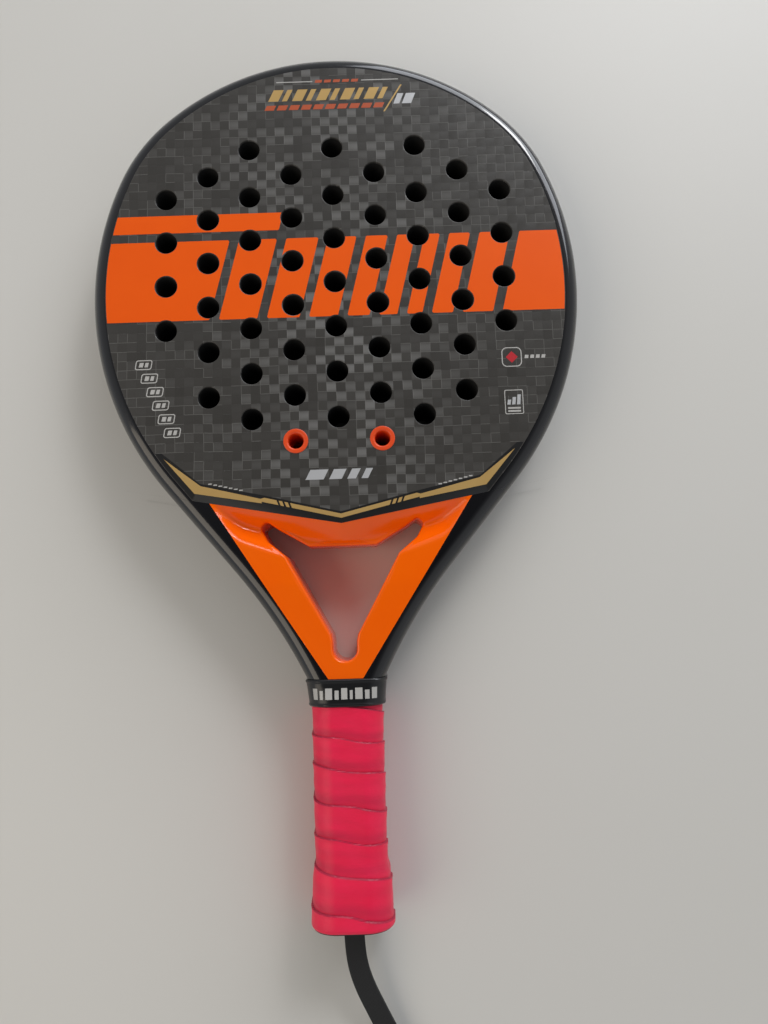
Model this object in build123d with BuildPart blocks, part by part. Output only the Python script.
"""A padel racket that lies on its back face: a drilled foam head between two woven laminates,
a hollow moulded frame, an open bridge at the throat, a wrapped handle and a wrist strap.

The length runs along Y with the head towards +Y, and the thickness runs along Z.
The origin is under the middle of the racket, on the surface that it lies on. All sizes are in millimetres.
"""

import os
from math import atan2, cos, degrees, pi, radians, sin, sqrt, tan

from build123d import *

# Overall sizes
racket_length = 455.0
racket_thickness = 38.0

# Head outline: three tangent arcs each side, then a straight arm and a hollow arc down to the yoke
crown_radius = 137.2
crown_turn = 41.4
shoulder_radius = 92.8
shoulder_turn = 25.1
flank_radius = 163.2
flank_turn = 63.2
arm_length = 55.8
neck_half_width = 17.0  # at the yoke's foot

# Frame, faces and core
rim_width = 7.6  # from the silhouette to the edge of each face
tube_width = 14.0  # from the silhouette to the core
tube_wall = 1.6
outer_wall = 3.2  # the tube is thicker where it is knocked
rim_radius = 7.0
face_thickness = 1.2
neck_taper = 3.5  # how much each side of the arms thins on its way to the neck

# Drilled holes: columns and half rows of a staggered grid, down from the crown
hole_radius = 5.7
column_pitch = 22.15
half_row_pitch = 12.08
grid_drop = 56.6
top_row_lift = 2.7
even_rows = (0, 2, 4, 6, 8, 10, 12)
odd_rows = (1, 3, 5, 7, 9, 11)
outer_rows = (2, 4, 6, 8)
hole_columns = {0: even_rows, 1: odd_rows, 2: even_rows, 3: odd_rows, 4: outer_rows}

# Eyelets, in two halves that meet inside the core
eyelet_row = 13
eyelet_bore_radius = 3.85
eyelet_wall = 1.3
eyelet_flange_radius = 6.4
eyelet_flange_thickness = 0.7
eyelet_gap = 0.3

# Rim protector, a clear tape over the top of the rim
protector_thickness = 0.5
protector_end_drop = 66.0

# Throat: half widths, and drops below the end of the flank arcs
taper_start_drop = 50.0  # where the arms begin to thin
throat_corner_half_width = 66.5
throat_corner_drop = 8.2
throat_apex_drop = 20.3
throat_foot_half_width = 8.5
throat_foot_drop = 97.8
crease_half_width = 54.2  # on the arm's outer edge, where the hollow ends
crease_drop = 27.2
bridge_slope = 0.93  # how far each side of the hollow falls for its width
crease_slope = 1.0
arm_slope = 1.2
throat_foam_height = 12.0
moulding_wall = 2.0
bridge_edge_half_width = 17.3
bridge_edge_drop = 30.8
lobe_inner_half_width = 32.5
lobe_inner_drop = 22.0
lobe_top_half_width = 38.6
lobe_top_drop = 17.7
lobe_half_width = 42.0
lobe_side_drop = 20.8
lobe_foot_half_width = 38.0
lobe_foot_drop = 28.0
arm_top_half_width = 28.6
arm_top_drop = 36.0
arm_foot_half_width = 6.8
arm_foot_drop = 76.0
slot_half_width = 6.1
slot_top_drop = 79.2
slot_foot_drop = 89.2
opening_corner_radius = 2.0

# Handle, with drops below the end of the flank arcs
hollow_foot_drop = 90.0
collar_top_drop = 97.6
yoke_foot_drop = 103.3  # the frame's full width ends here and its two legs go on
collar_foot_drop = 111.3
collar_thickness = 0.8
leg_width = 11.0
leg_height = 20.0
leg_corner_radius = 3.0
leg_gap = 3.0
knot_chamber = 15.0
pallet_side = 2.5
pallet_face = 2.8
pallet_radius = 8.0
pallet_clearance = 0.1
base_grip_thickness = 1.7
overgrip_thickness = 1.0
finishing_tape_thickness = 0.3
finishing_tape_length = 5.0
flare_length = 32.0
flare_growth = 2.6
cap_end_thickness = 5.0
cap_dome = 1.2
cap_clearance = 0.15

# Staples that hold the cap
staple_width = 9.0
staple_wire = 1.0
staple_length = 6.0
staple_from_cap_top = 4.0

# Wrist strap
strap_width = 10.0
strap_ply = 1.5
strap_hole_clearance = 0.3
knot_width = 15.0
knot_height = 13.0
knot_length = 9.0
knot_radius = 4.0
slider_width = 16.0
slider_height = 10.0
slider_length = 12.0
slider_clearance = 0.4
slider_travel = 20.0
slider_radius = 3.0
slider_gap = 0.4  # between the slider and the loop at rest

# Turns of the outline, from the crown, and the end of the flank arcs
shoulder_start = radians(crown_turn)
flank_start = radians(crown_turn + shoulder_turn)
flank_end = radians(crown_turn + shoulder_turn + flank_turn)
arm_lean = flank_end - pi / 2
flank_end_x = (
    crown_radius * sin(shoulder_start)
    + shoulder_radius * (sin(flank_start) - sin(shoulder_start))
    + flank_radius * (sin(flank_end) - sin(flank_start))
)
head_drop = (
    crown_radius * (1 - cos(shoulder_start))
    + shoulder_radius * (cos(shoulder_start) - cos(flank_start))
    + flank_radius * (cos(flank_start) - cos(flank_end))
)

# Places worked out from the sizes
mid_z = racket_thickness / 2
neck_thickness = racket_thickness - 2 * neck_taper
crown_y = racket_length / 2 - protector_thickness
butt_y = -racket_length / 2
throat_y = crown_y - head_drop  # every drop of the throat and handle starts here
yoke_foot_y = throat_y - yoke_foot_drop
hollow_foot_y = throat_y - hollow_foot_drop
collar_top_y = throat_y - collar_top_drop
collar_foot_y = throat_y - collar_foot_drop
grip_foot_y = butt_y + cap_dome
flare_top_y = butt_y + flare_length
staple_y = flare_top_y - staple_from_cap_top
cap_floor_y = butt_y + cap_end_thickness
leg_end_y = cap_floor_y + knot_chamber
core_thickness = racket_thickness - 2 * face_thickness
legs_width = 2 * leg_width + leg_gap
pallet_width = legs_width + 2 * pallet_side
pallet_height = leg_height + 2 * pallet_face
grips_thickness = base_grip_thickness + overgrip_thickness
stem_thickness = 2 * strap_ply

# The hollow neck arc leaves the arm's end and passes through the yoke's foot
arm_end_x = flank_end_x - arm_length * sin(arm_lean)
arm_end_y = throat_y - arm_length * cos(arm_lean)
foot_across = arm_end_x - neck_half_width
foot_down = arm_end_y - yoke_foot_y
foot_along = foot_across * sin(arm_lean) + foot_down * cos(arm_lean)
foot_aside = foot_down * sin(arm_lean) - foot_across * cos(arm_lean)
neck_radius = (foot_along**2 + foot_aside**2) / (2 * foot_aside)
neck_turn = 2 * atan2(foot_aside, foot_along)
neck_centre_x = arm_end_x + neck_radius * cos(arm_lean)
neck_centre_y = arm_end_y - neck_radius * sin(arm_lean)

parts = {}


def finish(builder, label):
    """Label a finished part and keep it for writing."""
    builder.part.label = label
    parts[label] = builder.part


def half_outline(inset):
    """The right half of the silhouette, moved inwards by inset: tangent pieces from crown to yoke."""
    crown = JernArc((0, crown_y - inset), (1, 0), crown_radius - inset, -crown_turn)
    shoulder = JernArc(crown @ 1, crown % 1, shoulder_radius - inset, -shoulder_turn)
    flank = JernArc(shoulder @ 1, shoulder % 1, flank_radius - inset, -flank_turn)
    arm = Line(flank @ 1, flank @ 1 + (flank % 1) * arm_length)
    return JernArc(arm @ 1, arm % 1, neck_radius + inset, degrees(neck_turn))


def neck_half_width_at(y):
    """The silhouette's half width on the hollow arc between the arm and the yoke."""
    return neck_centre_x - sqrt(neck_radius**2 - (y - neck_centre_y) ** 2)


def head_area(inset, foot_y, above_throat):
    """A face inside the silhouette, moved inwards by inset, that ends at foot_y or at the throat's V."""
    apex_y = throat_y - throat_apex_drop
    reach = 2 * racket_length
    rise = reach * (throat_apex_drop - throat_corner_drop) / throat_corner_half_width
    with BuildSketch(mode=Mode.PRIVATE) as area:
        with BuildLine():
            neck = half_outline(inset)
            Polyline(neck @ 1, ((neck @ 1).X, butt_y), (0, butt_y))
            mirror(about=Plane.YZ)
        make_face()
        with Locations((0, foot_y)):
            Rectangle(reach, reach, align=(Align.CENTER, Align.MIN), mode=Mode.INTERSECT)
        if above_throat:
            with BuildLine():
                Polyline((-reach, apex_y + rise), (0, apex_y), (reach, apex_y + rise), (reach, reach))
                Polyline((reach, reach), (-reach, reach), (-reach, apex_y + rise))
            make_face(mode=Mode.INTERSECT)
    return area.sketch


def throat_outline():
    """The throat moulding in plan, from the V below the face to its foot in the yoke."""
    corner_y = throat_y - throat_corner_drop
    foot_y = throat_y - throat_foot_drop
    with BuildSketch(mode=Mode.PRIVATE) as outline:
        with BuildLine():
            Polyline(
                (0, throat_y - throat_apex_drop),
                (throat_corner_half_width, corner_y),
                (throat_foot_half_width, foot_y),
                (-throat_foot_half_width, foot_y),
                (-throat_corner_half_width, corner_y),
                close=True,
            )
        make_face()
    return outline.sketch


def throat_opening():
    """The open space under the bridge: two lobes, two straight arms and a round-footed slot."""
    side = [
        (bridge_edge_half_width, throat_y - bridge_edge_drop),
        (lobe_inner_half_width, throat_y - lobe_inner_drop),
        (lobe_top_half_width, throat_y - lobe_top_drop),
        (lobe_half_width, throat_y - lobe_side_drop),
        (lobe_foot_half_width, throat_y - lobe_foot_drop),
        (arm_top_half_width, throat_y - arm_top_drop),
        (arm_foot_half_width, throat_y - arm_foot_drop),
        (slot_half_width, throat_y - slot_top_drop),
    ]
    slot_y = throat_y - slot_foot_drop + slot_half_width
    with BuildSketch(mode=Mode.PRIVATE) as opening:
        with BuildLine():
            right = Polyline(*side, (slot_half_width, slot_y))
            foot = RadiusArc(right @ 1, (-slot_half_width, slot_y), slot_half_width)
            left = Polyline(foot @ 1, *[(-x, y) for x, y in reversed(side)])
            Line(left @ 1, right @ 0)
        make_face()
        corners = opening.vertices().filter_by(lambda v: v.Y > slot_y + opening_corner_radius)
        fillet(corners, opening_corner_radius)
    return opening.sketch


def half_hollow(side):
    """One half of the hollow under the face: it falls from the V, from the arm's edge and from the crease."""
    apex = Vector(0, throat_y - throat_apex_drop, racket_thickness)
    corner = Vector(side * throat_corner_half_width, throat_y - throat_corner_drop, racket_thickness)
    crease = Vector(side * crease_half_width, throat_y - crease_drop, racket_thickness)
    arm_top = Vector(side * arm_top_half_width, throat_y - arm_top_drop, racket_thickness)
    up = Vector(0, 0, 1)
    with BuildPart(mode=Mode.PRIVATE) as hollow:
        with BuildSketch():
            with Locations((side * racket_length / 2, 0)):
                Rectangle(racket_length, racket_length)
        extrude(amount=2 * racket_thickness)
        for start, end, slope in (
            (apex, corner, bridge_slope),
            (corner, crease, arm_slope),
            (crease, arm_top, crease_slope),
        ):
            along = (end - start).normalized()
            inwards = along.cross(up) * side
            with BuildSketch(Plane(origin=start, x_dir=along, z_dir=inwards * slope + up)):
                Rectangle(2 * racket_length, 2 * racket_length)
            extrude(amount=racket_length, mode=Mode.INTERSECT)
    return hollow.part


def handle_section(grow):
    """The handle's cross-section, moved outwards by grow from the pallets."""
    with BuildSketch(mode=Mode.PRIVATE) as section:
        RectangleRounded(pallet_width + 2 * grow, pallet_height + 2 * grow, pallet_radius + grow)
    return section.sketch


def across_handle(y):
    """A plane across the handle at y, that faces the butt and has its origin on the handle's axis."""
    return Plane(origin=(0, y, mid_z), x_dir=(1, 0, 0), z_dir=(0, -1, 0))


def wrapped_handle(grow, top_y, foot_y):
    """The handle's solid shape from top_y to foot_y, straight and then flared towards the butt."""
    with BuildPart(mode=Mode.PRIVATE) as handle:
        if top_y > flare_top_y:
            with BuildSketch(across_handle(top_y)):
                add(handle_section(grow))
            extrude(amount=top_y - flare_top_y)
        with BuildSketch(across_handle(flare_top_y)):
            add(handle_section(grow))
        with BuildSketch(across_handle(foot_y)):
            add(handle_section(grow + flare_growth))
        loft()
    return handle.part


def thin_towards_handle(full_thickness, end_thickness):
    """Two wedges, above and below the frame, that leave it end_thickness thick at the yoke's foot."""
    start_y = throat_y - taper_start_drop
    end_y = yoke_foot_y - 1
    with BuildPart(mode=Mode.PRIVATE) as wedges:
        with BuildSketch(Plane.YZ):
            for side in (-1, 1):
                with BuildLine():
                    Polyline(
                        (start_y, mid_z + side * full_thickness / 2),
                        (end_y, mid_z + side * end_thickness / 2),
                        (end_y, mid_z + side * full_thickness),
                        (start_y, mid_z + side * full_thickness),
                        close=True,
                    )
                make_face()
        extrude(amount=racket_length, both=True)
    return wedges.part


def hole_places():
    """The centre of every plain hole in the face."""
    places = []
    for column, rows in hole_columns.items():
        for side in (-1, 1) if column else (1,):
            for row in rows:
                lift = top_row_lift if row == 0 else 0
                places.append((side * column * column_pitch, crown_y - grid_drop - row * half_row_pitch + lift))
    return places


# The frame, in one piece: a hollow rim and arms, a solid yoke and two hollow legs inside the handle
blade_outline = head_area(0, yoke_foot_y, False)
face_outline = head_area(rim_width, yoke_foot_y, True)
core_outline = head_area(tube_width, yoke_foot_y, True)
throat_plan = throat_outline()
wedges = thin_towards_handle(racket_thickness, neck_thickness)
hollow_thickness = core_thickness - 2 * tube_wall
hollow_wedges = thin_towards_handle(hollow_thickness, neck_thickness - 2 * outer_wall)

with BuildPart() as blade:
    with BuildSketch():
        add(blade_outline)
    extrude(amount=racket_thickness)
    add(wedges, mode=Mode.SUBTRACT)
    rim_edges = blade.edges().filter_by(Axis.Z, reverse=True).filter_by(Axis.X, reverse=True)
    fillet(rim_edges, rim_radius)

with BuildPart() as frame_hollow:
    with BuildSketch(Plane.XY.offset(mid_z - hollow_thickness / 2)):
        add(head_area(outer_wall, hollow_foot_y, False))
        for solid_area in (core_outline, throat_plan):
            with BuildSketch(mode=Mode.PRIVATE) as walled:
                add(solid_area)
                offset(amount=tube_wall, kind=Kind.INTERSECTION)
            add(walled.sketch, mode=Mode.SUBTRACT)
    extrude(amount=hollow_thickness)
    add(hollow_wedges, mode=Mode.SUBTRACT)

with BuildPart() as cap_staples:
    for facing in (-1, 1):
        crown_z = mid_z + facing * (pallet_height / 2 - staple_wire / 2)
        leg_z = mid_z + facing * (pallet_height / 2 - staple_length / 2)
        with Locations((0, staple_y, crown_z)):
            Box(staple_width, staple_wire, staple_wire)
        with Locations((-(staple_width - staple_wire) / 2, staple_y, leg_z)):
            Box(staple_wire, staple_wire, staple_length)
        with Locations(((staple_width - staple_wire) / 2, staple_y, leg_z)):
            Box(staple_wire, staple_wire, staple_length)
finish(cap_staples, "cap_staples")

with BuildPart() as frame_tube:
    add(blade.part)
    with BuildSketch():
        add(core_outline)
        add(throat_plan)
    extrude(amount=racket_thickness, mode=Mode.SUBTRACT)
    with BuildSketch(Plane.XY, Plane.XY.offset(racket_thickness - face_thickness)):
        add(face_outline)
    extrude(amount=face_thickness, mode=Mode.SUBTRACT)
    add(frame_hollow.part, mode=Mode.SUBTRACT)
    leg_places = [((leg_width + leg_gap) / 2, 0), (-(leg_width + leg_gap) / 2, 0)]
    with BuildSketch(across_handle(yoke_foot_y)):
        with Locations(*leg_places):
            RectangleRounded(leg_width, leg_height, leg_corner_radius)
    extrude(amount=yoke_foot_y - leg_end_y)
    with BuildSketch(across_handle(yoke_foot_y)):
        with Locations(*leg_places):
            RectangleRounded(
                leg_width - 2 * tube_wall, leg_height - 2 * tube_wall, leg_corner_radius - tube_wall
            )
    extrude(amount=yoke_foot_y - leg_end_y, mode=Mode.SUBTRACT)
    add(cap_staples.part, mode=Mode.SUBTRACT)
finish(frame_tube, "frame_tube")

# The throat: a moulding with a hollow under the face on each side, and foam inside its walls
opening_plan = throat_opening()
half_hollows = [half_hollow(side) for side in (-1, 1)]

with BuildPart() as hollows:
    add(half_hollows)
    mirror(about=Plane.XY.offset(mid_z))

with BuildPart() as throat_foam:
    with BuildSketch(Plane.XY.offset(mid_z - throat_foam_height / 2)):
        add(throat_plan)
        offset(amount=-moulding_wall, kind=Kind.INTERSECTION, mode=Mode.REPLACE)
        with BuildSketch(mode=Mode.PRIVATE) as walled_opening:
            add(opening_plan)
            offset(amount=moulding_wall)
        add(walled_opening.sketch, mode=Mode.SUBTRACT)
    extrude(amount=throat_foam_height)
finish(throat_foam, "throat_foam")

with BuildPart() as throat_bridge:
    with BuildSketch():
        add(throat_plan)
        add(opening_plan, mode=Mode.SUBTRACT)
    extrude(amount=racket_thickness)
    add(wedges, mode=Mode.SUBTRACT)
    add(hollows.part, mode=Mode.SUBTRACT)
    add(throat_foam.part, mode=Mode.SUBTRACT)
finish(throat_bridge, "throat_bridge")

# The head's sandwich: a foam core between two laminates, drilled through together
eyelet_y = crown_y - grid_drop - eyelet_row * half_row_pitch
eyelet_places = [(-column_pitch, eyelet_y), (column_pitch, eyelet_y)]
eyelet_radius = eyelet_bore_radius + eyelet_wall
holes = hole_places()

with BuildPart() as core_foam:
    with BuildSketch(Plane.XY.offset(face_thickness)):
        add(core_outline)
        with Locations(*holes):
            Circle(hole_radius, mode=Mode.SUBTRACT)
        with Locations(*eyelet_places):
            Circle(eyelet_radius, mode=Mode.SUBTRACT)
    extrude(amount=core_thickness)
finish(core_foam, "core_foam")

for label, low_z, flange_z in (
    ("back_face", 0, 0),
    ("front_face", racket_thickness - face_thickness, racket_thickness - eyelet_flange_thickness),
):
    with BuildPart() as face:
        with BuildSketch(Plane.XY.offset(low_z)):
            add(face_outline)
            with Locations(*holes):
                Circle(hole_radius, mode=Mode.SUBTRACT)
            with Locations(*eyelet_places):
                Circle(eyelet_radius, mode=Mode.SUBTRACT)
        extrude(amount=face_thickness)
        with BuildSketch(Plane.XY.offset(flange_z)):
            with Locations(*eyelet_places):
                Circle(eyelet_flange_radius)
        extrude(amount=eyelet_flange_thickness, mode=Mode.SUBTRACT)
    finish(face, label)

for end, side in (("left", -1), ("right", 1)):
    for label, outer_z, inwards in (("front", racket_thickness, -1), ("back", 0, 1)):
        eyelet_plane = Plane(
            origin=(side * column_pitch, eyelet_y, outer_z), x_dir=(1, 0, 0), z_dir=(0, 0, inwards)
        )
        with BuildPart() as eyelet:
            with BuildSketch(eyelet_plane):
                Circle(eyelet_flange_radius)
            extrude(amount=eyelet_flange_thickness)
            with BuildSketch(eyelet_plane):
                Circle(eyelet_radius)
            extrude(amount=mid_z - eyelet_gap / 2)
            with BuildSketch(eyelet_plane):
                Circle(eyelet_bore_radius)
            extrude(amount=mid_z, mode=Mode.SUBTRACT)
        finish(eyelet, f"eyelet_{label}_{end}")

protector_outline = head_area(-protector_thickness, crown_y - protector_end_drop, False)
with BuildPart() as rim_protector:
    with BuildSketch(Plane.XY.offset(rim_radius)):
        add(protector_outline)
        add(blade_outline, mode=Mode.SUBTRACT)
    extrude(amount=racket_thickness - 2 * rim_radius)
finish(rim_protector, "rim_protector")

# The handle, from the inside out
with BuildPart() as handle_spacer:
    with BuildSketch(across_handle(yoke_foot_y)):
        Rectangle(leg_gap, leg_height)
    extrude(amount=yoke_foot_y - leg_end_y)
finish(handle_spacer, "handle_spacer")

for label, kept in (("front_pallet", Keep.TOP), ("back_pallet", Keep.BOTTOM)):
    with BuildPart() as pallet:
        with BuildSketch(across_handle(yoke_foot_y)):
            add(handle_section(0))
            RectangleRounded(
                legs_width + 2 * pallet_clearance,
                leg_height + 2 * pallet_clearance,
                leg_corner_radius + pallet_clearance,
                mode=Mode.SUBTRACT,
            )
        extrude(amount=yoke_foot_y - flare_top_y)
        split(bisect_by=Plane.XY.offset(mid_z), keep=kept)
    finish(pallet, label)

with BuildPart() as butt_cap:
    add(wrapped_handle(0, flare_top_y, grip_foot_y))
    with BuildSketch(across_handle(grip_foot_y)):
        add(handle_section(flare_growth))
    extrude(amount=cap_dome, taper=45)
    with BuildSketch(across_handle(flare_top_y)):
        RectangleRounded(
            legs_width + 2 * cap_clearance, leg_height + 2 * cap_clearance, leg_corner_radius + cap_clearance
        )
    extrude(amount=flare_top_y - cap_floor_y, mode=Mode.SUBTRACT)
    with BuildSketch(across_handle(cap_floor_y)):
        RectangleRounded(strap_width + 2 * strap_hole_clearance, stem_thickness + 2 * strap_hole_clearance, 1)
    extrude(amount=cap_floor_y - butt_y, mode=Mode.SUBTRACT)
    add(cap_staples.part, mode=Mode.SUBTRACT)
finish(butt_cap, "butt_cap")

with BuildPart() as base_grip:
    add(wrapped_handle(base_grip_thickness, yoke_foot_y, grip_foot_y))
    add(wrapped_handle(0, yoke_foot_y, grip_foot_y), mode=Mode.SUBTRACT)
finish(base_grip, "base_grip")

with BuildPart() as overgrip:
    add(wrapped_handle(grips_thickness, yoke_foot_y, grip_foot_y))
    add(wrapped_handle(base_grip_thickness, yoke_foot_y, grip_foot_y), mode=Mode.SUBTRACT)
finish(overgrip, "overgrip")

with BuildPart() as finishing_tape:
    with BuildSketch(across_handle(collar_foot_y + finishing_tape_length)):
        add(handle_section(grips_thickness + finishing_tape_thickness))
        add(handle_section(grips_thickness), mode=Mode.SUBTRACT)
    extrude(amount=finishing_tape_length)
finish(finishing_tape, "finishing_tape")

collar_inside = grips_thickness + finishing_tape_thickness
with BuildPart() as grip_collar:
    with BuildSketch(across_handle(collar_top_y)):
        RectangleRounded(
            2 * (neck_half_width_at(collar_top_y) + collar_thickness),
            neck_thickness + 2 * collar_thickness,
            rim_radius + collar_thickness,
        )
    with BuildSketch(across_handle(collar_foot_y)):
        add(handle_section(collar_inside + collar_thickness))
    loft()
    add(blade.part, mode=Mode.SUBTRACT)
    add(throat_bridge.part, mode=Mode.SUBTRACT)
    with BuildSketch(across_handle(yoke_foot_y)):
        add(handle_section(collar_inside))
    extrude(amount=yoke_foot_y - collar_foot_y, mode=Mode.SUBTRACT)
finish(grip_collar, "grip_collar")

# The wrist strap: two plies run from the knot through the cap and the slider, and open into a loop
with BuildPart() as strap_knot:
    with BuildSketch(across_handle(cap_floor_y + knot_length)):
        RectangleRounded(knot_width, knot_height, knot_radius)
    extrude(amount=knot_length)
    fillet(strap_knot.faces().sort_by(Axis.Y)[-1].edges(), knot_radius / 2)
finish(strap_knot, "strap_knot")

# Where the strap goes: across, back from the cap's floor, and up from the surface
stem_points = [
    Vector(x, cap_floor_y - back, z)
    for x, back, z in (
        (0, 0, mid_z),
        (0, 15, mid_z),
        (2.4, 32, 14.0),
        (11.0, 53, 7.2),
        (31.0, 92, 5.0),
        (49.0, 131, 5.0),
    )
]
loop_points = [  # along the strap from the slider, and to its right
    (0.3, -1.0),
    (16, -1.1),
    (39, -6),
    (70, -19),
    (105, -27),
    (137, -17),
    (155, 8),
    (155, 36),
    (136, 56),
    (104, 58),
    (72, 43),
    (41, 17.5),
    (17, 2.6),
    (0.3, 1.0),
]


def corner_radii(points):
    """The largest arc at each inner point that leaves a tenth of the shorter run straight."""
    radii = []
    for before, corner, after in zip(points, points[1:], points[2:]):
        turn = radians((corner - before).get_angle(after - corner))
        shorter = min((corner - before).length, (after - corner).length)
        radii.append(0.45 * shorter / tan(turn / 2))
    return radii


def flat_strap(points, width, thickness, width_dir, label):
    """A flat strap along the points, whose width starts along width_dir and keeps its lean to the surface."""
    radii = corner_radii(points)
    above = [point + Vector(0, 0, strap_width) for point in points]
    with BuildLine(mode=Mode.PRIVATE) as guide:
        FilletPolyline(*above, radius=radii)
    with BuildPart() as strap:
        with BuildLine() as path:
            FilletPolyline(*points, radius=radii)
        with BuildSketch(Plane(origin=path.line @ 0, x_dir=width_dir, z_dir=path.line % 0)):
            Rectangle(width, thickness)
        sweep(binormal=guide.wire())
    length = sum(edge.length for edge in path.edges())
    print(label, "radii", [round(radius, 1) for radius in radii])
    print(label, "length", round(length, 1), "volume over section", round(strap.part.volume / width / thickness, 1))
    finish(strap, label)


stem_end = stem_points[-1]
stem_heading = (stem_end - stem_points[-2]).normalized()
stem_side = stem_heading.cross(Vector(0, 0, 1))
flat_strap(stem_points, strap_width, stem_thickness, (1, 0, 0), "strap_stem")
loop_path = [stem_end + stem_heading * along + stem_side * right for along, right in loop_points]
flat_strap(loop_path, strap_width, strap_ply, (0, 0, 1), "strap_loop")

slider_plane = Plane(origin=stem_end - stem_heading * slider_gap, x_dir=stem_side, z_dir=-stem_heading)
with BuildPart() as strap_slider:
    with BuildSketch(slider_plane):
        RectangleRounded(slider_width, slider_height, slider_radius)
        Rectangle(
            strap_width + 2 * slider_clearance, stem_thickness + 2 * slider_clearance, mode=Mode.SUBTRACT
        )
    extrude(amount=slider_length)
finish(strap_slider, "strap_slider")
print("slider heading", [round(value, 5) for value in -stem_heading], "travel", slider_travel)

os.makedirs("parts", exist_ok=True)
for label, part in parts.items():
    export_step(part, f"parts/{label}.step")
